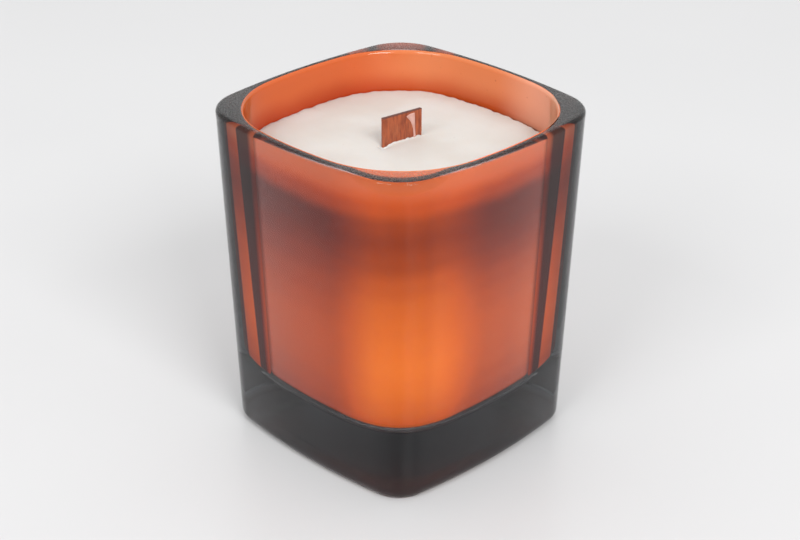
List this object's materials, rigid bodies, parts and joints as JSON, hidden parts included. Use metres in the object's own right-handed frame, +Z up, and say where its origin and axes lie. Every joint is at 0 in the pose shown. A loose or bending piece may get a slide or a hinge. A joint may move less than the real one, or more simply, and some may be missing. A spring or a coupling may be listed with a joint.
{
  "type": "square glass candle jar",
  "caption": "Square jar of thick smoky glass with bowed sides and an orange inside film, holding a set cream candle with a flat wooden wick.",
  "frame": {"origin": "centre of the base, on the plane that the jar stands on", "axes": "+Z up along the jar's axis; the four sides face +X, -X, +Y and -Y"},
  "size_m": [0.0798, 0.0798, 0.094],
  "materials": {
    "smoky_glass": "glossy, smoky grey, clear",
    "orange_film": "satin, translucent orange",
    "wax": "matt, cream",
    "wick_wood": "satin, reddish brown, straight grain",
    "clip_metal": "plain tinned sheet",
    "foam": "white closed-cell foam"
  },
  "bodies": {
    "jar": {"glass_jar": "smoky_glass", "inner_coating": "orange_film"},
    "candle": {"wax_fill": "wax", "wooden_wick": "wick_wood", "wick_clip": "clip_metal", "wick_sticker": "foam"}
  },
  "joints": [
    {"name": "fill_lift", "type": "slide", "parent": "jar", "child": "candle", "axis": [0, 0, 1], "range_m": [0, 0.09]}
  ]
}
